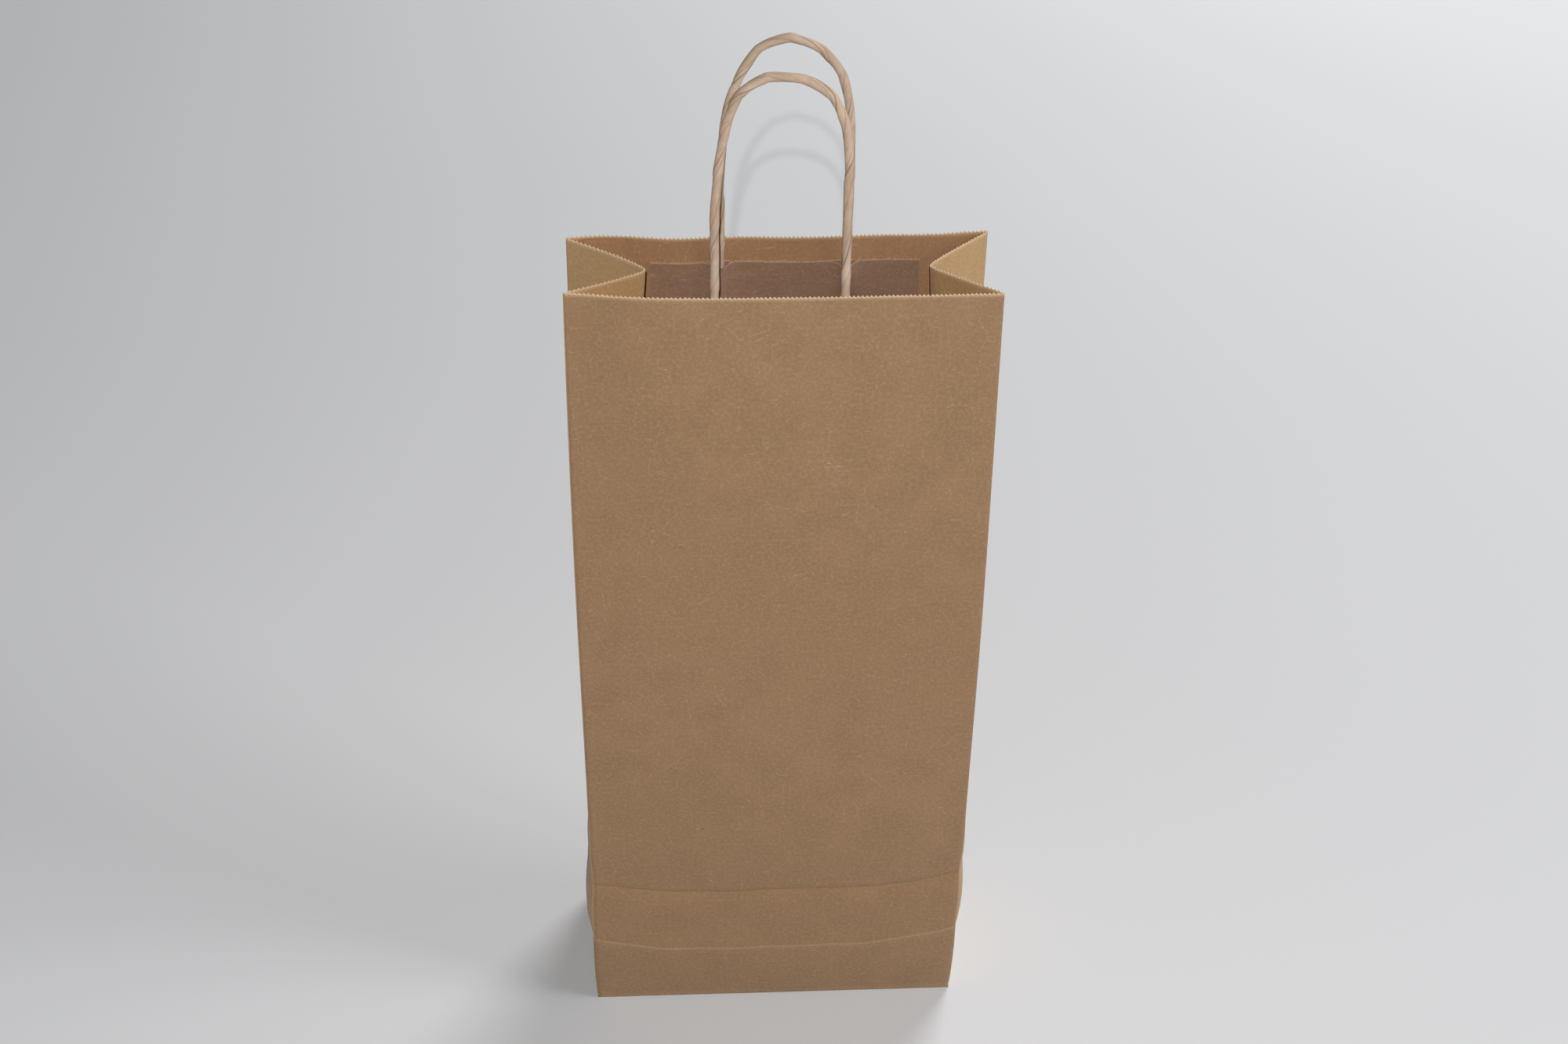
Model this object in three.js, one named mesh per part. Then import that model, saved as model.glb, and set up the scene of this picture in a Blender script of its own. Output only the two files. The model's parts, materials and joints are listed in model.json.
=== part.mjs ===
// Kraft paper gift bag with twisted paper cord handles.
// Millimetres, +Z up. The origin is the middle of the base, on the surface it stands on.
// The front panel faces -Y. The bag stands open: its four walls lean in from a crease low down,
// and the side gussets are folded inward between the walls.

import * as THREE from 'three';

// Driving dimensions of the folded sheet.
const PANEL_WIDTH = 180;
const BASE_DEPTH = 80;
const SHEET_HEIGHT = 400;
const CREASE_HEIGHT = 35;
const PAPER = 0.35;

// How far the front and back panels lean in towards each other as the bag stands.
const PANEL_LEAN = THREE.MathUtils.degToRad(2.35);

// Clearances: between glued layers, along the hinged corner creases, and along the diagonal folds.
const LAYER_GAP = 0.3;
const CORNER_GAP = 2;
const DIAGONAL_GAP = 1.6;

// Twisted paper cord and the patches that hold its ends.
const CORD_RADIUS = 2;
const CORD_SIDES = 12;
const LEG_SPACING = 54;
const HANDLE_OFFSET = -2.5;
const PIVOT_RISE = 5;
const CORD_END_RISE = 1;
const CORD_END_DEPTH = 50;
const PATCH_WIDTH = 115;
const PATCH_HEIGHT = 45;
const PATCH_DROP = 12;
const EMBOSS_SLOPE = 4;

// Glued lap of the tube, inside the back panel.
const LAP_WIDTH = 20;
const LAP_INSET = 8;

// Block bottom.
const OUTER_FLAP_DEPTH = 58;
const INNER_FLAP_DEPTH = 52;
const FLAP_CHAMFER = 22;
const TAB_DEPTH = 38;

const halfWidth = PANEL_WIDTH / 2;
const halfDepth = BASE_DEPTH / 2;
const wallHeight = SHEET_HEIGHT - CREASE_HEIGHT;
const diagonalSlope = halfDepth / wallHeight;

// The gusset is one flat strip, so its fold is fixed by the lean of the panels it joins.
const gussetLean = Math.acos(
  (1 - halfDepth * Math.sin(PANEL_LEAN) / wallHeight) / Math.cos(PANEL_LEAN));
const cornerFold = Math.atan2(
  wallHeight * Math.sin(gussetLean),
  halfDepth * Math.cos(PANEL_LEAN) - wallHeight * Math.cos(gussetLean) * Math.sin(PANEL_LEAN));

// Materials.
const KRAFT_OUTSIDE = 0xb07a4a;
const KRAFT_INSIDE = 0xa3673a;
const KRAFT_GUSSET = 0xb8864f;
const KRAFT_PATCH = 0x8d6a4a;
const KRAFT_CORD = 0xd0a184;

function paper(color) {
  return new THREE.MeshStandardMaterial({ color, roughness: 0.9, metalness: 0 });
}

// Closed prism of an outline: the outline lies in the local XZ plane, and the sheet's outer face
// is `inset` behind it along local +Y.
function uprightSheet(outline, inset, thickness = PAPER) {
  const shape = new THREE.Shape(outline.map(([x, z]) => new THREE.Vector2(x, z)));
  const geometry = new THREE.ExtrudeGeometry(shape, { depth: thickness, bevelEnabled: false });
  geometry.rotateX(Math.PI / 2);
  geometry.translate(0, inset + thickness, 0);
  return geometry;
}

function rectangle(left, right, bottom, top) {
  return [[left, bottom], [right, bottom], [right, top], [left, top]];
}

// The same, lying flat: the outline is in XY and the lower face is at `height`.
function flatSheet(outline, height) {
  const shape = new THREE.Shape(outline.map(([x, y]) => new THREE.Vector2(x, y)));
  const geometry = new THREE.ExtrudeGeometry(shape, { depth: PAPER, bevelEnabled: false });
  geometry.translate(0, 0, height);
  return geometry;
}

function addPiece(parent, name, geometry, color) {
  const mesh = new THREE.Mesh(geometry, paper(color));
  mesh.name = name;
  parent.add(mesh);
  return mesh;
}

// A wall's own frame: X along its lower crease, Y into the bag, Z up the leaning wall.
// `turn` is the wall's place around the bag: 0 is the front.
function wallFrame(parent, turn, distance, lean) {
  const facing = new THREE.Group();
  facing.rotation.z = turn;
  const hinge = new THREE.Group();
  hinge.position.set(0, -distance, CREASE_HEIGHT);
  hinge.rotation.x = -lean;
  facing.add(hinge);
  parent.add(facing);
  return hinge;
}

// Block bottom and the upright walls below the crease.
function buildBase(parent) {
  const innerX = halfWidth - PAPER - LAYER_GAP;
  const innerY = halfDepth - PAPER - LAYER_GAP;
  const top = CREASE_HEIGHT - LAYER_GAP;

  for (const [name, turn] of [['front_lower_wall', 0], ['back_lower_wall', Math.PI]]) {
    const wall = uprightSheet(rectangle(-halfWidth, halfWidth, 0, top), -halfDepth);
    addPiece(parent, name, wall, KRAFT_OUTSIDE).rotation.z = turn;
  }
  for (const [name, turn] of [['right_lower_wall', Math.PI / 2], ['left_lower_wall', -Math.PI / 2]]) {
    const wall = uprightSheet(rectangle(-innerY, innerY, 0, top), -halfWidth);
    addPiece(parent, name, wall, KRAFT_GUSSET).rotation.z = turn;
  }

  const flap = (depth) => [
    [-innerX, -innerY],
    [innerX, -innerY],
    [innerX, depth - innerY - FLAP_CHAMFER],
    [innerX - FLAP_CHAMFER, depth - innerY],
    [FLAP_CHAMFER - innerX, depth - innerY],
    [-innerX, depth - innerY - FLAP_CHAMFER],
  ];
  const layer = PAPER + LAYER_GAP;
  addPiece(parent, 'bottom_outer_flap', flatSheet(flap(OUTER_FLAP_DEPTH), 0), KRAFT_OUTSIDE);
  addPiece(parent, 'bottom_inner_flap', flatSheet(flap(INNER_FLAP_DEPTH), layer), KRAFT_INSIDE)
    .rotation.z = Math.PI;

  const tab = [[innerX, -innerY], [innerX, innerY], [innerX - TAB_DEPTH, 0]];
  for (const [name, turn] of [['bottom_tab_right', 0], ['bottom_tab_left', Math.PI]]) {
    addPiece(parent, name, flatSheet(tab, 2 * layer), KRAFT_INSIDE).rotation.z = turn;
  }
}

// Depths of the glued layers behind a panel's outer face.
const backingInset = PAPER + LAYER_GAP;
const coverInset = backingInset + PAPER + LAYER_GAP;
const cordInset = coverInset + CORD_RADIUS;

// The cover strip lies on the backing strip and rises over the two cord ends.
function patchCover() {
  const rise = 2 * CORD_RADIUS + LAYER_GAP;
  const inner = [];
  for (const leg of [-LEG_SPACING / 2, LEG_SPACING / 2]) {
    const crown = CORD_RADIUS + LAYER_GAP;
    inner.push([leg - crown - EMBOSS_SLOPE, 0]);
    inner.push([leg - crown, rise - CORD_RADIUS / 2]);
    inner.push([leg - crown / 2, rise]);
    inner.push([leg + crown / 2, rise]);
    inner.push([leg + crown, rise - CORD_RADIUS / 2]);
    inner.push([leg + crown + EMBOSS_SLOPE, 0]);
  }
  const line = [[-PATCH_WIDTH / 2, 0], ...inner, [PATCH_WIDTH / 2, 0]];
  const outer = line.map(([x, y]) => [x, y + PAPER]).reverse();
  const shape = new THREE.Shape([...line, ...outer].map(([x, y]) => new THREE.Vector2(x, y)));
  const geometry = new THREE.ExtrudeGeometry(shape, { depth: PATCH_HEIGHT, bevelEnabled: false });
  geometry.translate(HANDLE_OFFSET, coverInset, wallHeight - PATCH_DROP - PATCH_HEIGHT);
  return geometry;
}

// A handle patch on the inside of a panel, with the two glued cord ends it holds.
function buildPatch(hinge, side) {
  const top = wallHeight - PATCH_DROP;
  const left = HANDLE_OFFSET - PATCH_WIDTH / 2;
  const strip = rectangle(left, left + PATCH_WIDTH, top - PATCH_HEIGHT, top);
  addPiece(hinge, `${side}_patch_backing`, uprightSheet(strip, backingInset), KRAFT_PATCH);
  addPiece(hinge, `${side}_patch_cover`, patchCover(), KRAFT_PATCH);

  const length = CORD_END_DEPTH + CORD_END_RISE;
  for (const [hand, x] of [['left', -LEG_SPACING / 2], ['right', LEG_SPACING / 2]]) {
    const end = new THREE.CylinderGeometry(CORD_RADIUS, CORD_RADIUS, length, CORD_SIDES);
    end.rotateX(Math.PI / 2);
    end.translate(HANDLE_OFFSET + x, cordInset, wallHeight + CORD_END_RISE - length / 2);
    addPiece(hinge, `${side}_handle_end_${hand}`, end, KRAFT_CORD);
  }
}

// The corner panel of a gusset hinges on the panel's side edge and ends at the diagonal fold.
function buildCornerGusset(hinge, name, hand) {
  const low = (CORNER_GAP + DIAGONAL_GAP / 2) / diagonalSlope;
  const outline = [
    [CORNER_GAP, low],
    [halfDepth - DIAGONAL_GAP / 2, wallHeight],
    [CORNER_GAP, wallHeight],
  ];
  const panel = addPiece(hinge, name, uprightSheet(outline, -PAPER / 2), KRAFT_GUSSET);
  panel.position.x = hand * halfWidth;
  panel.rotation.z = Math.PI / 2 + hand * cornerFold;
}

// The centre panel of a gusset is the long triangle between the two diagonal folds.
function buildGussetCentre(parent, name, turn) {
  const hinge = wallFrame(parent, turn, halfWidth, gussetLean);
  const foot = halfDepth - DIAGONAL_GAP;
  const tip = DIAGONAL_GAP / 2;
  const outline = [
    [-foot, LAYER_GAP],
    [foot, LAYER_GAP],
    [tip, (foot - tip) / diagonalSlope],
    [-tip, (foot - tip) / diagonalSlope],
  ];
  addPiece(hinge, name, uprightSheet(outline, 0), KRAFT_GUSSET);
}

// Cord centrelines above the pivot, in the plane of the loop: across from the handle's middle, up.
const FRONT_LOOP = [
  [-27, 0], [-27, 20], [-26.6, 34], [-24.1, 55], [-20.2, 74], [-14.5, 84], [-7, 88.5], [1, 89.4],
  [9, 88], [16, 84.5], [22, 77.5], [25.3, 68], [26.8, 56], [27, 40], [26.8, 20], [27, 0],
];
const BACK_LOOP = [
  [-27, 0], [-27.3, 18], [-27, 37], [-26.6, 50], [-24.8, 63], [-20.6, 74], [-12, 83], [-3, 86.3],
  [4, 86], [11, 82.5], [17.8, 73.5], [24, 56.5], [26.4, 38], [27.3, 20], [27, 0],
];

function buildHandle(hinge, name, points) {
  const route = new THREE.CatmullRomCurve3(points.map(([x, z]) => new THREE.Vector3(x, 0, z)));
  const section = new THREE.Shape();
  section.absarc(0, 0, CORD_RADIUS, 0, 2 * Math.PI);
  const cord = new THREE.ExtrudeGeometry(section, {
    steps: 44,
    curveSegments: CORD_SIDES / 2,
    extrudePath: route,
  });
  const loop = addPiece(hinge, name, cord, KRAFT_CORD);
  loop.position.set(HANDLE_OFFSET, cordInset, wallHeight + PIVOT_RISE);
  loop.rotation.x = PANEL_LEAN;
}

function buildPanel(parent, side, turn, loopPoints) {
  const hinge = wallFrame(parent, turn, halfDepth, PANEL_LEAN);
  const sheet = rectangle(-halfWidth, halfWidth, LAYER_GAP, wallHeight);
  addPiece(hinge, `${side}_panel`, uprightSheet(sheet, 0), KRAFT_OUTSIDE);
  buildPatch(hinge, side);
  buildHandle(hinge, `${side}_handle_loop`, loopPoints);

  // Seen from the front, the back panel's frame runs the other way across.
  const right = turn === 0 ? 1 : -1;
  buildCornerGusset(hinge, `right_gusset_${side}`, right);
  buildCornerGusset(hinge, `left_gusset_${side}`, -right);
  return hinge;
}

function buildGlueLap(hinge) {
  const edge = halfWidth - LAP_INSET;
  const strip = rectangle(edge - LAP_WIDTH, edge, LAYER_GAP, wallHeight);
  addPiece(hinge, 'glue_lap', uprightSheet(strip, backingInset), KRAFT_INSIDE);
}

const bag = new THREE.Group();
buildBase(bag);
buildPanel(bag, 'front', 0, FRONT_LOOP);
const backHinge = buildPanel(bag, 'back', Math.PI, BACK_LOOP);
buildGlueLap(backHinge);
buildGussetCentre(bag, 'right_gusset_centre', Math.PI / 2);
buildGussetCentre(bag, 'left_gusset_centre', -Math.PI / 2);

export default bag;
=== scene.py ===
"""Kraft paper gift bag with twisted paper cord handles: the looks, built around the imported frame."""

import json
import math

import bpy
import numpy as np
from mathutils import Matrix, Vector


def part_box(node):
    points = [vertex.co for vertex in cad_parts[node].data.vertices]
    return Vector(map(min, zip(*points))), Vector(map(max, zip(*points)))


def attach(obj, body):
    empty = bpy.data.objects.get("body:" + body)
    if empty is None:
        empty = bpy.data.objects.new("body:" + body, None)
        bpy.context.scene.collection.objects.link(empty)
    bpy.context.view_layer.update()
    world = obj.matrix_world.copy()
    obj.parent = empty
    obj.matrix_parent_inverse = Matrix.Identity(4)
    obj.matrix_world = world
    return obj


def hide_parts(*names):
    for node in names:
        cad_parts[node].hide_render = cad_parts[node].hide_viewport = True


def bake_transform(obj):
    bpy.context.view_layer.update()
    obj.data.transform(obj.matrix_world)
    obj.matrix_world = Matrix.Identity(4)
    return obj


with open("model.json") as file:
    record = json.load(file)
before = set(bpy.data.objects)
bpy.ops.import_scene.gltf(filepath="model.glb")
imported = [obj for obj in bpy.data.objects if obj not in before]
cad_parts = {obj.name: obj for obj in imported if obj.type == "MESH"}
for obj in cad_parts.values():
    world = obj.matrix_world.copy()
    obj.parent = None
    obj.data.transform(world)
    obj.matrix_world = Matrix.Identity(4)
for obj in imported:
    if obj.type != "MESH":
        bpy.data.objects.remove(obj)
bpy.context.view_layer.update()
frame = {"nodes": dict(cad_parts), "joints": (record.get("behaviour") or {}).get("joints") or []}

MM = 0.001
JOINTS = {j["name"]: j for j in frame["joints"]}


# ---------------------------------------------------------------- sizes, from the frame

_, PANEL_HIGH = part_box("front_panel")
LOWER_LOW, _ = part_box("front_lower_wall")
HALF_WIDTH = PANEL_HIGH.x
HALF_DEPTH = -LOWER_LOW.y
GUSSET = HALF_DEPTH
CREASE = JOINTS["mouth_opening"]["pos_m"][2]
CORNER_AXIS = JOINTS["right_front_corner_crease"]["axis"]
LEAN = math.atan2(CORNER_AXIS[1], CORNER_AXIS[2])
WALL = (PANEL_HIGH.z - CREASE) / math.cos(LEAN)

PIVOT = {"front": Vector(JOINTS["front_handle_fold"]["pos_m"]),
         "back": Vector(JOINTS["back_handle_fold"]["pos_m"])}


# ---------------------------------------------------------------- sizes of the paper, the folds and the cord

PAPER = 0.22 * MM
TOOTH_PITCH = 1.8 * MM
TOOTH_HEIGHT = 0.85 * MM
CORNER_FILLET = 0.8 * MM
FOOT_TAPER = np.array([0.9955, 0.993, 1])

# Keyed by side of the bag: -1 is the left, 1 the right.
RIM_INSET = {-1: 35.6 * MM, 1: 29.6 * MM}
LOWER_CREASE_CLIMB = {-1: 8.5 * MM, 1: 10.0 * MM}
UPPER_CREASE_CLIMB = {-1: 5.2 * MM, 1: 8.8 * MM}
UPPER_CREASE_HEIGHT = 37.0 * MM
BELLY = 1.6 * MM
GUSSET_BULGE = 4.8 * MM
PLEAT_DEPTH = 0.45 * MM

# How the rim stands out of its panel's flat plane: an arch over the whole width, and humps along it,
# each with its height, its place from the middle and its width.
RIM_ARCH = {"front": 2.2 * MM, "back": -0.7 * MM}
RIM_HUMPS = {
    "front": [(-3.6 * MM, -HALF_WIDTH, 22 * MM), (0.5 * MM, HALF_WIDTH, 30 * MM)],
    "back": [(1.5 * MM, 45 * MM, 22 * MM), (3.6 * MM, HALF_WIDTH, 22 * MM), (0.9 * MM, -20 * MM, 15 * MM),
             (2.7 * MM, -72 * MM, 18 * MM), (-0.9 * MM, -43 * MM, 15 * MM)],
}

UNDER_STRIP_DEPTH = 0.45 * MM
OVER_STRIP_DEPTH = 1.05 * MM
LAP_DEPTH = 0.42 * MM
EMBOSS_HEIGHT = 5.0 * MM

CORD_RADIUS = 1.9 * MM
CORD_SAMPLE = 0.7 * MM
CORD_SIDES = 40
TWIST_PITCH = 34 * MM
FACET_LENGTH = 14 * MM
FACET_SHARE = 0.45
BACK_CORD_SHIFT = 1.5 * MM

CAMERA_PLACE = (-0.0516, -0.7976, 0.8440)
CAMERA_PITCH, CAMERA_YAW, CAMERA_ROLL = (math.radians(angle) for angle in (35.81, -3.87, 1.30))
FLOOR_HALF = 6.0

# Each piece takes its own part of the paper's pattern, so that no two show the same fibres.
PATTERN_SHIFT = {"front": 0.0, "back": 0.7, "strip": 0.31, "lap": 0.52}
STRIP_PATTERN_STRETCH = 1.3
WORN_FIBRE = (0.68, 0.50, 0.33)
SHIVE = (0.06, 0.035, 0.02)

rng = np.random.default_rng(7)


# ---------------------------------------------------------------- camera, lights, floor


def make_camera():
    """Camera in front of the bag, a little to its left, looking down at the mouth and front."""
    flat = math.cos(CAMERA_PITCH)
    forward = Vector((-math.sin(CAMERA_YAW) * flat, math.cos(CAMERA_YAW) * flat, -math.sin(CAMERA_PITCH)))
    level = Vector((math.cos(CAMERA_YAW), math.sin(CAMERA_YAW), 0))
    upright = level.cross(forward)
    right = level * math.cos(CAMERA_ROLL) + upright * math.sin(CAMERA_ROLL)
    up = upright * math.cos(CAMERA_ROLL) - level * math.sin(CAMERA_ROLL)
    data = bpy.data.cameras.new("camera")
    data.lens = 50
    data.sensor_width = 36
    camera = bpy.data.objects.new("camera", data)
    turn = Matrix((right, up, -forward)).transposed().to_4x4()
    camera.matrix_world = Matrix.Translation(CAMERA_PLACE) @ turn
    bpy.context.scene.collection.objects.link(camera)
    bpy.context.scene.camera = camera


def area_light(name, place, target, size, watts, color=(1, 1, 1)):
    data = bpy.data.lights.new(name, "AREA")
    data.shape = "DISK"
    data.size = size
    data.energy = watts
    data.color = color
    light = bpy.data.objects.new(name, data)
    light.location = place
    light.rotation_euler = (Vector(target) - Vector(place)).to_track_quat("-Z", "Y").to_euler()
    bpy.context.scene.collection.objects.link(light)


def make_stage():
    """A large pale floor, a dim sky, two soft lights and a small flash in front."""
    mesh = bpy.data.meshes.new("floor")
    corners = [(x * FLOOR_HALF, y * FLOOR_HALF, 0) for x, y in ((-1, -1), (1, -1), (1, 1), (-1, 1))]
    mesh.from_pydata(corners, [], [(0, 1, 2, 3)])
    floor = bpy.data.objects.new("floor", mesh)
    bpy.context.scene.collection.objects.link(floor)
    mesh.materials.append(floor_material())

    world = bpy.data.worlds.new("sky")
    world.use_nodes = True
    world.node_tree.nodes["Background"].inputs["Color"].default_value = (0.72, 0.75, 0.80, 1)
    world.node_tree.nodes["Background"].inputs["Strength"].default_value = 0.11
    bpy.context.scene.world = world

    area_light("rear_light", (1.3, 2.4, 2.0), (0, 0.6, 0), 1.6, 75)
    area_light("right_light", (2.1, -0.5, 1.35), (0, 0.1, 0.1), 1.2, 25)
    area_light("flash", (-0.075, -1.04, 1.03), (0, 0, 0.34), 0.008, 11.6, (1, 0.98, 0.96))


# ---------------------------------------------------------------- materials


class Shader:
    """A small helper that adds nodes to one material's tree."""

    def __init__(self, name):
        self.material = bpy.data.materials.new(name)
        self.material.use_nodes = True
        self.tree = self.material.node_tree
        self.principled = self.tree.nodes["Principled BSDF"]

    def node(self, kind, **values):
        made = self.tree.nodes.new(kind)
        for key, value in values.items():
            setattr(made, key, value)
        return made

    def link(self, output, socket):
        self.tree.links.new(output, socket)

    def coordinates(self, source, scale):
        place = self.node("ShaderNodeTexCoord")
        mapping = self.node("ShaderNodeMapping")
        mapping.inputs["Scale"].default_value = scale
        self.link(place.outputs[source], mapping.inputs["Vector"])
        return mapping.outputs["Vector"]

    def noise(self, vector, scale, detail=4, roughness=0.55):
        made = self.node("ShaderNodeTexNoise")
        made.inputs["Scale"].default_value = scale
        made.inputs["Detail"].default_value = detail
        made.inputs["Roughness"].default_value = roughness
        self.link(vector, made.inputs["Vector"])
        return made.outputs["Fac"]

    def ramp(self, value, low, high, start=0.0, end=1.0):
        made = self.node("ShaderNodeMapRange")
        made.interpolation_type = "SMOOTHSTEP"
        made.inputs["From Min"].default_value = low
        made.inputs["From Max"].default_value = high
        made.inputs["To Min"].default_value = start
        made.inputs["To Max"].default_value = end
        self.link(value, made.inputs["Value"])
        return made.outputs["Result"]

    def math(self, kind, a, b):
        made = self.node("ShaderNodeMath", operation=kind)
        for socket, value in zip(made.inputs, (a, b)):
            if isinstance(value, (int, float)):
                socket.default_value = value
            else:
                self.link(value, socket)
        return made.outputs["Value"]

    def tint(self, factor, base, color):
        made = self.node("ShaderNodeMix", data_type="RGBA")
        sockets = {s.identifier: s for s in made.inputs}
        self.link(factor, sockets["Factor_Float"])
        for key, value in (("A_Color", base), ("B_Color", color)):
            if isinstance(value, tuple):
                sockets[key].default_value = (*value, 1)
            else:
                self.link(value, sockets[key])
        return {s.identifier: s for s in made.outputs}["Result_Color"]

    def attribute(self, name):
        made = self.node("ShaderNodeAttribute", attribute_name=name)
        return made.outputs["Fac"]

    def bump(self, height, strength, distance):
        made = self.node("ShaderNodeBump")
        made.inputs["Strength"].default_value = strength
        made.inputs["Distance"].default_value = distance
        self.link(height, made.inputs["Height"])
        self.link(made.outputs["Normal"], self.principled.inputs["Normal"])


def kraft(name, base, dark, pale, source="UV", scuffs=0.0):
    """Unbleached kraft: cloudy pulp, machine-direction fibres, dark shives and pale loose fibres."""
    s = Shader(name)
    flat = s.coordinates(source, (1, 1, 1))
    across = s.coordinates(source, (1, 5, 1))
    along = s.coordinates(source, (6, 1, 1))
    cloud = s.noise(flat, 48, 5, 0.6)
    flock = s.noise(flat, 620, 3, 0.8)
    grain = s.noise(across, 330, 4, 0.7)
    fibre = s.noise(along, 260, 4, 0.65)
    color = s.tint(s.ramp(cloud, 0.30, 0.70, 0.35, 1.0), dark, base)
    color = s.tint(s.ramp(flock, 0.42, 0.68, 0.0, 0.6), color, pale)
    color = s.tint(s.ramp(grain, 0.54, 0.74, 0.0, 0.32), color, dark)
    color = s.tint(s.ramp(fibre, 0.58, 0.78, 0.0, 0.35), color, pale)

    shives = s.node("ShaderNodeTexVoronoi")
    shives.inputs["Scale"].default_value = 95
    s.link(flat, shives.inputs["Vector"])
    chosen = s.noise(flat, 31, 2)
    near_shive = s.ramp(shives.outputs["Distance"], 0.03, 0.055, 1, 0)
    spot = s.math("MULTIPLY", near_shive, s.ramp(chosen, 0.60, 0.66))
    color = s.tint(spot, color, SHIVE)

    hairs = s.node("ShaderNodeTexVoronoi", feature="DISTANCE_TO_EDGE")
    hairs.inputs["Scale"].default_value = 170
    s.link(s.coordinates(source, (1, 0.45, 1)), hairs.inputs["Vector"])
    near_hair = s.ramp(hairs.outputs["Distance"], 0.0, 0.025, 0.35, 0)
    hair = s.math("MULTIPLY", near_hair, s.ramp(grain, 0.5, 0.62))
    color = s.tint(hair, color, WORN_FIBRE)
    if scuffs:
        rubbed = s.noise(across, 42, 5, 0.7)
        color = s.tint(s.ramp(rubbed, 0.52, 0.72, 0.0, scuffs), color, pale)
    # Painted shade: the fold mask darkens the paper along the upper crease.
    color = s.tint(s.attribute("fold"), color, tuple(0.55 * c for c in dark))
    color = s.tint(s.attribute("wear_and_groove_shade"), color, WORN_FIBRE)
    s.link(color, s.principled.inputs["Base Color"])

    s.link(s.ramp(grain, 0.3, 0.7, 0.78, 0.92), s.principled.inputs["Roughness"])
    s.principled.inputs["Specular IOR Level"].default_value = 0.32
    s.principled.inputs["Sheen Weight"].default_value = 0.12
    s.principled.inputs["Sheen Roughness"].default_value = 0.6
    fine_relief = s.math("ADD", s.math("MULTIPLY", fibre, 0.7), flock)
    relief = s.math("ADD", s.math("MULTIPLY", grain, 0.6), fine_relief)
    s.bump(relief, 0.35, 0.00012)
    return s.material


def cut_edge_material():
    """The sawn rim: loose pale fibres."""
    s = Shader("kraft_cut_edge")
    flat = s.coordinates("UV", (1, 1, 1))
    fluff = s.noise(flat, 900, 3, 0.7)
    color = s.tint(s.ramp(fluff, 0.35, 0.65), (0.62, 0.45, 0.28), (0.82, 0.67, 0.47))
    s.link(color, s.principled.inputs["Base Color"])
    s.principled.inputs["Roughness"].default_value = 0.95
    s.bump(fluff, 0.5, 0.0002)
    return s.material


def cord_material():
    """Twisted paper cord: pale, with painted shade along its helical creases, and fine lengthwise wrinkles.
    """
    s = Shader("paper_cord")
    flat = s.coordinates("UV", (1, 1, 1))
    wrinkle = s.noise(s.coordinates("UV", (9, 1, 1)), 170, 4, 0.6)
    cloud = s.noise(flat, 60, 4, 0.6)
    color = s.tint(s.ramp(cloud, 0.35, 0.65), (0.42, 0.305, 0.215), (0.53, 0.405, 0.305))
    color = s.tint(s.ramp(wrinkle, 0.52, 0.72, 0.0, 0.45), color, (0.30, 0.19, 0.115))
    # Painted shade: the mask darkens the cord along the wrap step and the softer crease.
    color = s.tint(s.attribute("wear_and_groove_shade"), color, (0.17, 0.095, 0.05))
    s.link(color, s.principled.inputs["Base Color"])
    s.link(s.ramp(wrinkle, 0.3, 0.7, 0.62, 0.82), s.principled.inputs["Roughness"])
    s.principled.inputs["Specular IOR Level"].default_value = 0.4
    s.bump(wrinkle, 0.5, 0.0003)
    return s.material


def floor_material():
    s = Shader("floor_paper")
    cloud = s.noise(s.coordinates("Object", (1, 1, 1)), 1.3, 2, 0.5)
    color = s.tint(cloud, (0.60, 0.605, 0.62), (0.635, 0.64, 0.65))
    s.link(color, s.principled.inputs["Base Color"])
    s.principled.inputs["Roughness"].default_value = 0.9
    s.principled.inputs["Specular IOR Level"].default_value = 0.2
    return s.material


OUTSIDE = kraft("kraft_outside", (0.289, 0.169, 0.085), (0.247, 0.143, 0.069), (0.364, 0.230, 0.127))
# The gussets are the same paper as the panels: these brighter copies paint on the light that falls on the
# gussets.
LIT_GUSSET_OUTSIDE = kraft("kraft_gusset_outside_painted_light",
                       (0.406, 0.253, 0.111), (0.349, 0.214, 0.091), (0.491, 0.321, 0.160))
LIT_GUSSET_INSIDE = kraft("kraft_gusset_inside_painted_light",
                      (0.357, 0.206, 0.082), (0.307, 0.172, 0.065), (0.420, 0.260, 0.126))
INSIDE = kraft("kraft_inside", (0.315, 0.168, 0.080), (0.269, 0.140, 0.063), (0.378, 0.218, 0.118))
BOTTOM = kraft("kraft_bottom", (0.280, 0.164, 0.086), (0.240, 0.138, 0.070), (0.352, 0.224, 0.128), "Object")
PATCH = kraft("kraft_patch", (0.240, 0.136, 0.080), (0.200, 0.112, 0.064), (0.304, 0.188, 0.120), scuffs=0.4)
CUT_EDGE = cut_edge_material()
CORD = cord_material()


# ---------------------------------------------------------------- mesh helpers


def add_object(name, vertices, faces, uv, materials, face_material, masks, sharp=35):
    """One mesh object with smooth shading, UVs in metres and masks for its worn and shaded lines."""
    mesh = bpy.data.meshes.new(name)
    mesh.from_pydata([tuple(v) for v in vertices], [], faces)
    for material in materials:
        mesh.materials.append(material)
    mesh.polygons.foreach_set("material_index", face_material)
    mesh.polygons.foreach_set("use_smooth", [True] * len(faces))
    loops = np.empty(len(mesh.loops), np.int64)
    mesh.loops.foreach_get("vertex_index", loops)
    layer = mesh.uv_layers.new(name="sheet")
    layer.data.foreach_set("uv", np.asarray(uv, np.float32)[loops].ravel())
    for mask, values in masks.items():
        attribute = mesh.attributes.new(mask, "FLOAT", "POINT")
        attribute.data.foreach_set("value", np.asarray(values, np.float32).ravel())
    mesh.set_sharp_from_angle(angle=math.radians(sharp))
    mesh.update()
    made = bpy.data.objects.new(name, mesh)
    bpy.context.scene.collection.objects.link(made)
    return made


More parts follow.
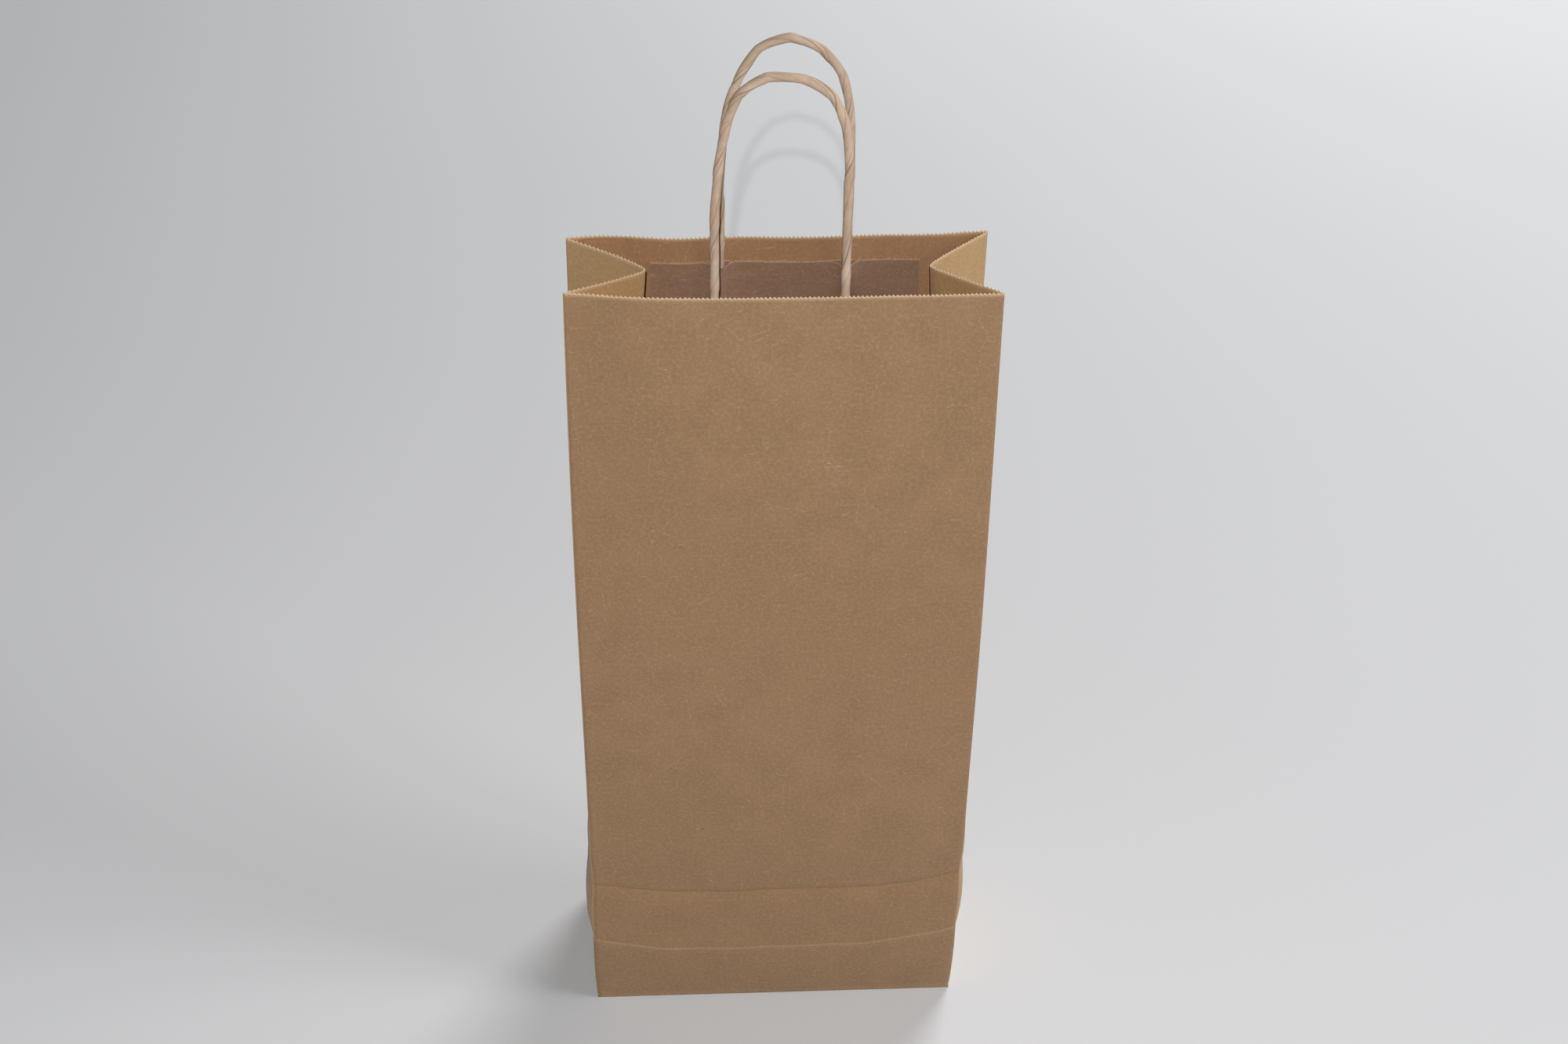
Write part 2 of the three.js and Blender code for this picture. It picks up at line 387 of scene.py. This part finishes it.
def grid_normals(points, closed=False):
    """Unit normals of a grid of points, rows by columns."""
    up = np.gradient(points, axis=0)
    if closed:
        across = (np.roll(points, -1, 1) - np.roll(points, 1, 1)) / 2
    else:
        across = np.gradient(points, axis=1)
    normal = np.cross(across, up)
    return normal / np.maximum(np.linalg.norm(normal, axis=2, keepdims=True), 1e-12)


def sheet_object(name, outer, uv, materials, masks, closed=False, sharp=35, gusset=None):
    """A sheet of paper: the outer face is the grid, and the inner face lies one thickness behind it.
    materials: outside, inside and cut edge, then the outside and inside for the columns `gusset` marks."""
    rows, columns = outer.shape[:2]
    inner = outer - grid_normals(outer, closed) * PAPER
    vertices = np.concatenate([outer.reshape(-1, 3), inner.reshape(-1, 3)])
    count = rows * columns
    spans = columns if closed else columns - 1
    faces, kinds = [], []

    def at(row, column, side):
        return side * count + row * columns + column % columns

    for r in range(rows - 1):
        for c in range(spans):
            faces.append((at(r, c, 0), at(r, c + 1, 0), at(r + 1, c + 1, 0), at(r + 1, c, 0)))
            faces.append((at(r, c, 1), at(r + 1, c, 1), at(r + 1, c + 1, 1), at(r, c + 1, 1)))
            kinds += [3, 4] if gusset is not None and gusset[c] and gusset[(c + 1) % columns] else [0, 1]
    for c in range(spans):
        top, low = rows - 1, 0
        faces.append((at(top, c, 0), at(top, c + 1, 0), at(top, c + 1, 1), at(top, c, 1)))
        faces.append((at(low, c, 0), at(low, c, 1), at(low, c + 1, 1), at(low, c + 1, 0)))
        kinds += [2, 2]
    if not closed:
        for r in range(rows - 1):
            last = columns - 1
            faces.append((at(r, 0, 0), at(r + 1, 0, 0), at(r + 1, 0, 1), at(r, 0, 1)))
            faces.append((at(r, last, 0), at(r, last, 1), at(r + 1, last, 1), at(r + 1, last, 0)))
            kinds += [2, 2]
    both_uv = np.concatenate([uv.reshape(-1, 2)] * 2)
    both_masks = {mask: np.concatenate([values.ravel()] * 2) for mask, values in masks.items()}
    return add_object(name, vertices, faces, both_uv, materials, kinds, both_masks, sharp)


# ---------------------------------------------------------------- the folded sheet


def ease(x):
    x = np.clip(x, 0, 1)
    return x * x * (3 - 2 * x)


def lower_crease(x):
    """Height of the lower crease above the hinge line: it climbs towards the corners."""
    left = LOWER_CREASE_CLIMB[-1] * np.clip((-x / HALF_WIDTH - 0.60) / 0.40, 0, 1) ** 1.3
    right = LOWER_CREASE_CLIMB[1] * np.clip((x / HALF_WIDTH - 0.39) / 0.61, 0, 1) ** 1.35
    wander = 0.35 * MM * np.sin(75 * x) + 0.25 * MM * np.sin(190 * x + 2)
    return left + right + wander


def upper_crease(x):
    """Height of the upper crease above the hinge line: it climbs towards the corners too."""
    climb = np.clip((np.abs(x) / HALF_WIDTH - 0.52) / 0.48, 0, 1)
    wander = 0.4 * MM * np.sin(60 * x) + 0.3 * MM * np.sin(141 * x + 1)
    rise = np.where(x < 0, UPPER_CREASE_CLIMB[-1], UPPER_CREASE_CLIMB[1])
    return UPPER_CREASE_HEIGHT + wander + rise * climb ** 1.25


def hump(x, middle, width):
    return np.exp(-(((x - middle) / width) ** 2))


def panel_swell(side, x, s):
    """How far the front or back panel stands out of its flat plane."""
    u = np.clip(s / WALL, 0, 1)
    arch = np.cos(np.pi * x / (2 * HALF_WIDTH))
    belly = BELLY * np.sin(np.pi * u) * arch
    rim = RIM_ARCH[side] * arch
    for height, middle, width in RIM_HUMPS[side]:
        rim = rim + height * hump(x, middle, width)
    phase = 0.0 if side == "front" else 2.1
    slow_ripple = 0.28 * MM * np.sin(38 * x + 9 * s + phase) * np.sin(21 * s + 1.3 + phase)
    fast_ripple = 0.12 * MM * np.sin(95 * x - 30 * s + phase) * np.sin(17 * s + phase)
    ripple = slow_ripple + fast_ripple
    above = np.clip(1 - np.abs(s - upper_crease(x)) / 0.022, 0, 1)
    below = np.clip(1 - np.abs(s - upper_crease(x)) / 0.007, 0, 1)
    valley = -1.5 * MM * np.where(s > upper_crease(x), above, below)
    ridge = 0.7 * MM * np.clip(1 - np.abs(s - lower_crease(x)) / 0.010, 0, 1)
    return belly + rim * u ** 2.2 + ripple * ease(4 * u) + valley + ridge


def side_bow(x, s):
    """The side edges bow out at mid-height, step in at the upper crease, and flare at the top left."""
    u = np.clip(s / WALL, 0, 1)
    step = -0.7 * np.clip(1 - np.abs(s - 0.043) / 0.016, 0, 1)
    step += 0.5 * np.clip(1 - np.abs(s - 0.006) / 0.012, 0, 1)
    left_flare = 2.4 * np.sin(np.pi * u / 2) ** 2
    right_flare = 0.8 * ease(u / 0.1) * (1 - ease((u - 0.5) / 0.5))
    return (np.sin(np.pi * u) + step + np.where(x < 0, left_flare, right_flare)) * MM


def soft_min(a, b, k):
    h = np.clip(0.5 + 0.5 * (b - a) / k, 0, 1)
    return b * (1 - h) + a * h - k * h * (1 - h)


def sheet_point(side, a, s):
    """Outer face of the paper, `a` across from the panel's middle and `s` up from the hinge line."""
    hand = np.where(a < 0, -1, 1)
    x_panel = np.clip(a, -HALF_WIDTH, HALF_WIDTH)
    t = np.clip((np.abs(a) - HALF_WIDTH) / GUSSET, 0, 1)
    u = np.clip(s / WALL, 0, 1)
    z = CREASE + s * math.cos(LEAN)

    # The panel.
    bow = side_bow(a, s)
    x = x_panel * (1 + bow * np.abs(x_panel) / HALF_WIDTH ** 2)
    depth = HALF_DEPTH - s * math.sin(LEAN) + panel_swell(side, x_panel, s)

    # The gusset: in from the corner to the diagonal fold, then along to the middle fold.
    inset_rim = np.where(hand < 0, RIM_INSET[-1], RIM_INSET[1])
    reach = np.maximum(1 - HALF_DEPTH * (1 - u) / np.maximum(depth, 1e-4), 0.05)
    fold = soft_min(t / reach, 1.0, 0.16)
    fold = 0.82 * fold + 0.18 * np.sin(np.pi / 2 * t)
    above = s - lower_crease(x_panel)
    bulge = GUSSET_BULGE * np.abs(np.sin(np.pi * t)) ** 0.5 * hump(above, 0.028, 0.044) * ease(above / 0.007)
    pleat = PLEAT_DEPTH * np.sin(np.pi * t) * np.sin(26 * s + 2 * hand)
    inward = inset_rim * u ** 1.3 * fold - bulge + pleat * u
    on_gusset = t > 0
    x = np.where(on_gusset, x - hand * inward, x)
    middle_drop = (math.cos(LEAN) - np.sqrt(1 - (inset_rim / WALL) ** 2)) * s
    z = z - np.where(on_gusset, t * middle_drop, 0)
    y = depth * (1 - t)
    return np.stack([x, -y if side == "front" else y, z], axis=-1)


def columns_across():
    """Flat distances across half a sheet, from one middle fold to the other, two to a tooth."""
    step = TOOTH_PITCH / 2
    panel = np.arange(-round(HALF_WIDTH / step), round(HALF_WIDTH / step) + 1) * step
    panel *= HALF_WIDTH / panel[-1]
    count = round(GUSSET / step)
    gusset = HALF_WIDTH + GUSSET * np.arange(1, count + 1) / count
    near = np.array([0.25, 0.5, 0.75]) * CORNER_FILLET
    corner = np.concatenate([HALF_WIDTH - near[::-1], HALF_WIDTH + near])
    right = np.concatenate([panel[panel > 0][:-2], corner[:3], [HALF_WIDTH], corner[3:], gusset[1:]])
    return np.concatenate([-right[::-1], [0.0], right])


def round_corners(points, a):
    """Replaces the sharp corner creases with a small fillet, row by row."""
    for hand in (-1, 1):
        at = hand * HALF_WIDTH
        inside = np.abs(a - at) < CORNER_FILLET
        before = np.searchsorted(a, at - CORNER_FILLET) - 1
        after = np.searchsorted(a, at + CORNER_FILLET)
        middle = np.argmin(np.abs(a - at))
        first, corner, last = points[:, before], points[:, middle], points[:, after]
        for c in np.nonzero(inside)[0]:
            q = (a[c] - a[before]) / (a[after] - a[before])
            points[:, c] = (1 - q) ** 2 * first + 2 * q * (1 - q) * corner + q * q * last
    return points


COLUMNS = columns_across()
BAND_SHARES = (0, 0.02, 0.1, 0.25, 0.42, 0.58, 0.75, 0.9)
UPPER_CREASE_ROW = len(BAND_SHARES) + 1


def upper_rows(a):
    """Heights of the rows above the lower crease; rows follow both creases across the panel."""
    x = np.clip(a, -HALF_WIDTH, HALF_WIDTH)
    low, high = lower_crease(x), upper_crease(x)
    tip = 0.6 * MM
    band = [low + (high - low) * q for q in BAND_SHARES]
    band += [high - tip, high, high + tip]
    lifts = [3, 6, 10, 15, 22]
    body = [high + lift * MM for lift in lifts]
    start = high + lifts[-1] * MM
    near_rim = WALL - 6 * MM
    body += [start + (near_rim - start) * q for q in np.linspace(0, 1, 34)[1:]]
    body += [np.full_like(x, WALL - drop * MM) for drop in (4, 2.2, 1.1)]
    return np.stack(band + body + [np.full_like(x, WALL)])


def tooth_offsets(a):
    """Sawn zigzag of the rim, slightly irregular."""
    zigzag = np.where(np.arange(len(a)) % 2 == 0, 1.0, -1.0)
    torn = 0.35 * rng.standard_normal(len(a)) + 0.3 * np.sin(a * 260) * np.sin(a * 97)
    return TOOTH_HEIGHT * (0.5 * zigzag + 0.22 * torn - 0.3)


def half_sheet(side):
    """One panel with the two gusset halves that fold in from it."""
    a = COLUMNS
    s = upper_rows(a)
    s[-1] += tooth_offsets(a)
    across = np.broadcast_to(a, s.shape)
    points = round_corners(sheet_point(side, across, s), a)
    top = points[-1] - points[-2]
    top *= ((s[-1] - s[-2]) / np.linalg.norm(top, axis=1))[:, None]
    points[-1] = points[-2] + top

    wear_and_groove_shade = np.zeros_like(s)
    wear_and_groove_shade[-1] = 1.0
    wear_and_groove_shade[-2] = 0.25
    wear_and_groove_shade[:, np.abs(np.abs(a) - HALF_WIDTH) < 0.4 * MM] = 0.16
    wear_and_groove_shade[0, :] = 0.2
    # The fold mask paints a line of shade along the upper crease of the panel.
    fold = np.zeros_like(s)
    fold[UPPER_CREASE_ROW, np.abs(a) < HALF_WIDTH] = 0.35
    fold[UPPER_CREASE_ROW + 1, np.abs(a) < HALF_WIDTH] = 0.12
    gusset = np.abs(a) > HALF_WIDTH
    flat = np.stack([across + PATTERN_SHIFT[side], s], axis=-1)
    if side == "back":
        points, flat, wear_and_groove_shade, fold, gusset = (g[..., ::-1] if g.ndim < 3 else g[:, ::-1]
                                            for g in (points, flat, wear_and_groove_shade, fold, gusset))
    # The gusset columns take the brighter copies, with painted light.
    materials = [OUTSIDE, INSIDE, CUT_EDGE, LIT_GUSSET_OUTSIDE, LIT_GUSSET_INSIDE]
    return sheet_object(f"{side}_sheet", points, flat, materials, {"wear_and_groove_shade": wear_and_groove_shade, "fold": fold},
                        sharp=50, gusset=gusset)


def hang_on_wall(piece):
    """Bakes the sheet's placement into its mesh."""
    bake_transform(piece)


def make_sheets():
    front = half_sheet("front")
    hang_on_wall(front)
    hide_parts("front_panel", "right_gusset_front", "left_gusset_front",
                "right_gusset_centre", "left_gusset_centre")
    back = half_sheet("back")
    hang_on_wall(back)
    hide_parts("back_panel", "right_gusset_back", "left_gusset_back")


def make_lower_box():
    """The square foot of the bag, from the floor to the lower crease, in one closed band."""
    a = COLUMNS
    crease = lower_crease(np.clip(a, -HALF_WIDTH, HALF_WIDTH))
    front = round_corners(sheet_point("front", a[None], crease[None]), a)[0]
    back = round_corners(sheet_point("back", a[None], crease[None]), a)[0][::-1]
    ring = np.concatenate([front, back[1:-1]])
    t = np.clip((np.abs(a) - HALF_WIDTH) / GUSSET, 0, 1)
    hand = np.where(a < 0, -1, 1)
    foot_x = np.where(t > 0, hand * HALF_WIDTH, a)
    foot = np.stack([foot_x, -HALF_DEPTH * (1 - t), 0 * a], axis=-1)
    foot = round_corners(foot[None].copy(), a)[0]
    mirrored = foot[::-1][1:-1] * np.array([1, -1, 1])
    base = np.concatenate([foot, mirrored]) * FOOT_TAPER

    levels = np.array([0, 0.02, 0.05, 0.12, 0.3, 0.5, 0.7, 0.88, 0.97, 1.0])
    tuck = np.array([0.9, 0.35, 0.08, 0, 0, 0, 0, 0, 0, 0]) * MM
    out = base.copy()
    out[:, 2] = 0
    out /= np.maximum(np.linalg.norm(out, axis=1, keepdims=True), 1e-9)
    rows = []
    for level, inwards in zip(levels, tuck):
        row = base * (1 - level) + ring * level - out * inwards
        row += out * (0.5 * MM * math.sin(math.pi * level))
        rows.append(row)
    points = np.stack(rows)
    distance = np.concatenate([a, 2 * (HALF_WIDTH + GUSSET) + a[1:-1]])
    flat = np.stack([np.broadcast_to(distance, points.shape[:2]), points[..., 2] - CREASE], axis=-1)
    wear_and_groove_shade = np.zeros(points.shape[:2])
    wear_and_groove_shade[-1] = 0.18
    wear_and_groove_shade[-2] = 0.05
    wear_and_groove_shade[:3] = 0.08
    on_side = np.abs(a) > HALF_WIDTH
    gusset = np.concatenate([on_side, on_side[::-1][1:-1]])
    # The gusset columns take the brighter copies, with painted light.
    materials = [OUTSIDE, INSIDE, OUTSIDE, LIT_GUSSET_OUTSIDE, LIT_GUSSET_INSIDE]
    box = sheet_object("lower_box", points, flat, materials, {"wear_and_groove_shade": wear_and_groove_shade},
                       closed=True, sharp=50, gusset=gusset)
    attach(box, "base")
    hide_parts("front_lower_wall", "back_lower_wall", "right_lower_wall", "left_lower_wall")


# ---------------------------------------------------------------- patches, lap, bottom


def inner_point(side, x, s, inset):
    """A point `inset` inside the panel's outer face."""
    sign = -1 if side == "front" else 1
    point = sheet_point(side, x, s)
    inward = np.array([0, -sign * math.cos(LEAN), -math.sin(LEAN)])
    return point + inward * np.asarray(inset)[..., None]


def handle_middle(side):
    """Middle of the handle's two legs; the back cord sits a little left of its place in the frame."""
    low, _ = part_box(f"{side}_handle_end_left")
    _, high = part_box(f"{side}_handle_end_right")
    return (low.x + high.x) / 2 - (BACK_CORD_SHIFT if side == "back" else 0)


def leg_offset(side):
    left, right = (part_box(f"{side}_handle_end_{hand}") for hand in ("left", "right"))
    return abs((right[0].x + right[1].x) - (left[0].x + left[1].x)) / 4


def strip_box(node):
    """Left, right, lowest and highest of a patch strip, with heights measured up the leaning wall."""
    low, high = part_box(node)
    return low.x, high.x, (low.z - CREASE) / math.cos(LEAN), (high.z - CREASE) / math.cos(LEAN)


def paper_strip(name, side, node, inset, embossed):
    """One strip of a handle patch; the embossed one is pressed over the cord's two legs."""
    left, right, low, high = strip_box(node)
    x = np.linspace(left, right, 165)
    s = np.concatenate([[low], np.linspace(low + 0.5 * MM, high - 0.5 * MM, 40), [high]])
    across, up = np.meshgrid(x, s)
    depth = np.full_like(across, inset)
    if embossed:
        for hand in (-1, 1):
            off = np.abs(across - handle_middle(side) - hand * leg_offset(side))
            crown = np.sqrt(np.clip(1 - (off / (CORD_RADIUS * 1.7)) ** 2, 0, 1))
            shoulder = np.exp(-((off / (CORD_RADIUS * 2.1)) ** 2))
            depth += EMBOSS_HEIGHT * np.maximum(0.98 * crown, 0.82 * shoulder)
        depth += 0.25 * MM * np.sin(across * 210) * np.sin(up * 160) * ease((high - up) / 0.004)
    points = inner_point(side, across, up, depth)
    torn = 0.25 * MM * rng.standard_normal(len(x))
    points[-1, :, 2] += torn
    flat = np.stack([across + PATTERN_SHIFT["strip"], up * STRIP_PATTERN_STRETCH], axis=-1)
    wear_and_groove_shade = np.zeros_like(across)
    wear_and_groove_shade[-1] = 0.45
    if side == "back":
        points, flat = points[:, ::-1], flat[:, ::-1]
    strip = sheet_object(name, points, flat, [PATCH] * 3, {"wear_and_groove_shade": wear_and_groove_shade})
    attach(strip, f"{side}_wall")
    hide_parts(node)


def make_patches():
    for side in ("front", "back"):
        backing = f"{side}_patch_backing"
        cover = f"{side}_patch_cover"
        paper_strip(f"{side}_patch_under", side, backing, UNDER_STRIP_DEPTH, False)
        paper_strip(f"{side}_patch_over", side, cover, OVER_STRIP_DEPTH, True)


def make_lap():
    left, right, low, high = strip_box("glue_lap")
    x = np.linspace(left, right, 21)
    s = np.linspace(low + 1 * MM, high - 1.2 * MM, 70)
    across, up = np.meshgrid(x, s)
    points = inner_point("back", across, up, np.full_like(across, LAP_DEPTH))
    flat = np.stack([across + PATTERN_SHIFT["lap"], up], axis=-1)
    lap = sheet_object("glued_lap", points[:, ::-1], flat[:, ::-1], [INSIDE] * 3, {})
    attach(lap, "back_wall")
    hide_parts("glue_lap")


def finish_bottom():
    """The folded flaps of the block bottom are flat sheets already, and take the paper material."""
    for node in ("bottom_outer_flap", "bottom_inner_flap", "bottom_tab_left", "bottom_tab_right"):
        mesh = frame["nodes"][node].data
        mesh.materials.clear()
        mesh.materials.append(BOTTOM)


# ---------------------------------------------------------------- twisted cord handles

# The loops' centrelines above the pivot, in millimetres: across from the handle's middle, up.
FRONT_LOOP = [
    (-27.2, 0), (-27.2, 20), (-27, 34), (-25, 55), (-21.4, 74), (-15.8, 84), (-8.4, 88.5), (-0.4, 89.4),
    (7.6, 88), (14.7, 84.5), (20.9, 77.5), (24.3, 68), (25.9, 56), (26.2, 40), (26.2, 20), (26.5, 0),
]
BACK_LOOP = [
    (-27, 0), (-27.3, 18), (-27, 37), (-26.6, 50), (-24.8, 63), (-20.6, 74), (-12, 83), (-3, 86.3),
    (4, 86), (11, 82.5), (17.8, 73.5), (24, 56.5), (26.4, 38), (27.3, 20), (27, 0),
]


def catmull_rom(points, per_span):
    """A smooth line through the points, evenly sampled in each span."""
    points = np.asarray(points, float)
    padded = np.vstack([2 * points[0] - points[1], points, 2 * points[-1] - points[-2]])
    line = []
    for p0, p1, p2, p3 in zip(padded, padded[1:], padded[2:], padded[3:]):
        for t in np.arange(per_span) / per_span:
            line.append(0.5 * (2 * p1 + (p2 - p0) * t + (2 * p0 - 5 * p1 + 4 * p2 - p3) * t * t
                               + (3 * p1 - p0 - 3 * p2 + p3) * t ** 3))
    return np.array(line + [points[-1]])


def resample(line, step):
    lengths = np.concatenate([[0], np.cumsum(np.linalg.norm(np.diff(line, axis=0), axis=1))])
    wanted = np.linspace(0, lengths[-1], max(2, round(lengths[-1] / step)) + 1)
    even = np.stack([np.interp(wanted, lengths, axis) for axis in line.T], axis=1)
    return even, wanted


def kinked(line):
    """Stiff twisted paper bends in short straight facets: part of the way towards a coarse polyline."""
    coarse, _ = resample(line, FACET_LENGTH)
    fine_length = np.concatenate([[0], np.cumsum(np.linalg.norm(np.diff(line, axis=0), axis=1))])
    coarse_at = np.linspace(0, fine_length[-1], len(coarse))
    straight = np.stack([np.interp(fine_length, coarse_at, axis) for axis in coarse.T], axis=1)
    bend = ease((line[:, -1] - line[:, -1].max() + 0.05) / 0.03)[:, None] * FACET_SHARE
    return line * (1 - bend) + straight * bend


def under_patch(side, x, s, inset):
    """The cord follows the sheet under the patch, and eases to the flat wall's plane towards its pivot."""
    sign = -1 if side == "front" else 1
    flat = np.stack([x, sign * (HALF_DEPTH - s * math.sin(LEAN)), CREASE + s * math.cos(LEAN)], axis=-1)
    flat += np.array([0, -sign * math.cos(LEAN), -math.sin(LEAN)]) * inset
    follow = 1 - ease((s - WALL + 12 * MM) / (15 * MM))
    swell = panel_swell(side, x, s) * follow
    return flat + np.array([0, sign, 0]) * swell[..., None]


def handle_route(side, loop):
    """The whole cord: up one leg from under the patch, round the loop and down the other leg."""
    pivot = PIVOT[side]
    sign = -1 if side == "front" else 1
    middle = handle_middle(side)
    loop = np.array([(middle - sign * x * MM, pivot.y, pivot.z + z * MM) for x, z in loop])
    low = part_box(f"{side}_handle_end_left")[0].z
    height = (pivot.z - CREASE) / math.cos(LEAN)
    inset = (HALF_DEPTH - height * math.sin(LEAN) - abs(pivot.y)) * math.cos(LEAN)
    drops = np.linspace(height - (low - CREASE) / math.cos(LEAN), 6 * MM, 8)
    legs = []
    for end in (loop[0], loop[-1]):
        across = np.full_like(drops, end[0])
        legs.append(under_patch(side, across, height - drops, inset))
    line = catmull_rom(np.vstack([legs[0], loop, legs[1][::-1]]), 14)
    return kinked(line)


def make_handle(side, loop):
    line, along = resample(handle_route(side, loop), CORD_SAMPLE)
    ahead = np.gradient(line, axis=0)
    ahead /= np.linalg.norm(ahead, axis=1, keepdims=True)
    depth_axis = np.array([0.0, 1.0, 0.0])
    radial = np.cross(ahead, depth_axis)
    radial /= np.linalg.norm(radial, axis=1, keepdims=True)
    second = np.cross(ahead, radial)

    around = CORD_SIDES
    angle = np.arange(around) * 2 * np.pi / around
    wander = 0.5 * np.sin(along * 90 + 1.0) + 0.2 * np.sin(along * 240)
    turn = 2 * np.pi * along / TWIST_PITCH + wander
    phase = angle[None, :] - turn[:, None]

    # The rolled paper's edge winds round the cord as a low step, with two softer creases to a turn.
    wrap = (phase / (2 * np.pi)) % 1
    step = 0.13 * (wrap - 0.5)
    wraps_two = ((phase * 2 + 1.3) / (2 * np.pi)) % 1
    crease_two = -0.07 * np.exp(-(((wraps_two - 0.5) / 0.05) ** 2))
    oval = 0.025 * np.cos(2 * phase + 0.6)
    lumps = 0.015 * np.sin(along * 190)[:, None] * np.cos(phase)
    radius = CORD_RADIUS * (1.0 + step + crease_two + oval + lumps)
    ring = radial[:, None] * np.cos(angle)[None, :, None] + second[:, None] * np.sin(angle)[None, :, None]
    points = line[:, None] + ring * radius[..., None]

    # Mask for painted shade in the cord's grooves: the wrap step and the softer crease.
    edge = np.minimum(wrap, 1 - wrap)
    wear_and_groove_shade = 0.75 * np.exp(-((edge / 0.025) ** 2)) + 0.4 * np.exp(-(((wraps_two - 0.5) / 0.05) ** 2))
    rows = len(line)
    vertices = np.vstack([points.reshape(-1, 3), line[:1], line[-1:]])
    faces = []
    for r in range(rows - 1):
        for c in range(around):
            d = (c + 1) % around
            faces.append((r * around + c, r * around + d, (r + 1) * around + d, (r + 1) * around + c))
    start, end = rows * around, rows * around + 1
    for c in range(around):
        d = (c + 1) % around
        faces.append((start, d, c))
        faces.append((end, (rows - 1) * around + c, (rows - 1) * around + d))
    uv = np.stack([np.broadcast_to(phase * CORD_RADIUS, phase.shape),
                   np.broadcast_to(along[:, None], phase.shape)], axis=-1).reshape(-1, 2)
    uv = np.vstack([uv, [[0, 0], [0, along[-1]]]])
    wear_and_groove_shade = np.concatenate([wear_and_groove_shade.ravel(), [0, 0]])
    handle = add_object(f"{side}_handle", vertices, faces, uv, [CORD], [0] * len(faces),
                        {"wear_and_groove_shade": wear_and_groove_shade}, sharp=60)
    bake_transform(handle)
    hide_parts(f"{side}_handle_loop", f"{side}_handle_end_left", f"{side}_handle_end_right")


# ---------------------------------------------------------------- build


make_camera()
make_stage()
bpy.context.scene.view_settings.view_transform = "Standard"
make_sheets()
make_lower_box()
make_patches()
make_lap()
finish_bottom()
make_handle("front", FRONT_LOOP)
make_handle("back", BACK_LOOP)
